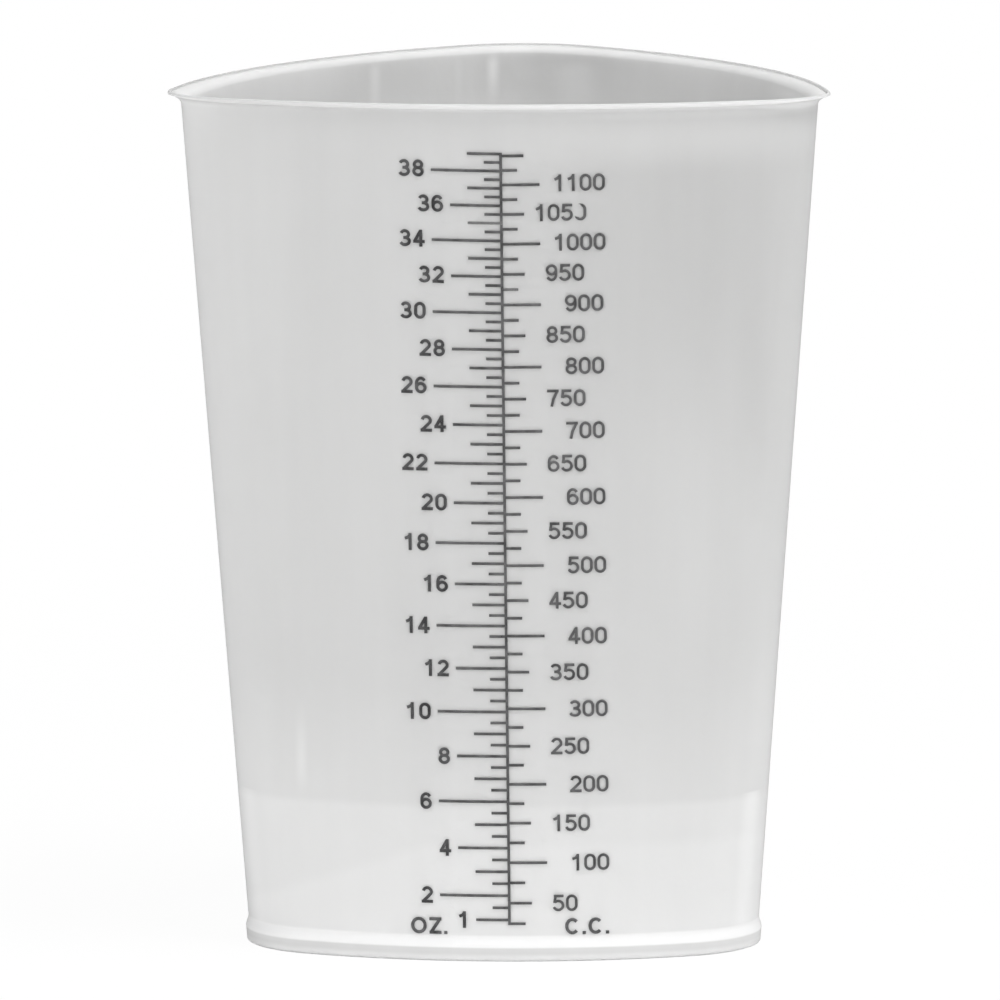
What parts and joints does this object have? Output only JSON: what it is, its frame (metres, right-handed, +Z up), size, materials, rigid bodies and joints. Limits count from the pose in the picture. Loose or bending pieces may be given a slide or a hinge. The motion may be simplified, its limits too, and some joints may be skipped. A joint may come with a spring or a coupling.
{
  "type": "graduated beaker",
  "caption": "Translucent plastic beaker of rounded triangular plan with tapered walls, a flared rim with side pouring lips, a low foot ring and a printed ounce and cc scale.",
  "frame": {"origin": "at table level, on the foot's plane, under the middle of the box around the rim", "axes": "+Z up, from the foot to the rim; -Y is the front, where the wall with the printed scale faces; +Y points to the rear corner; the pouring lips are at -X and +X"},
  "size_m": [0.1232, 0.118, 0.161],
  "materials": {
    "milky_polypropylene": "natural milky translucent polypropylene, satin, faintly streaked",
    "black_ink": "thin screen-printed black ink, matte, slightly worn"
  },
  "bodies": {
    "root": {"vessel": "milky_polypropylene", "scale_print": "black_ink"}
  },
  "joints": []
}
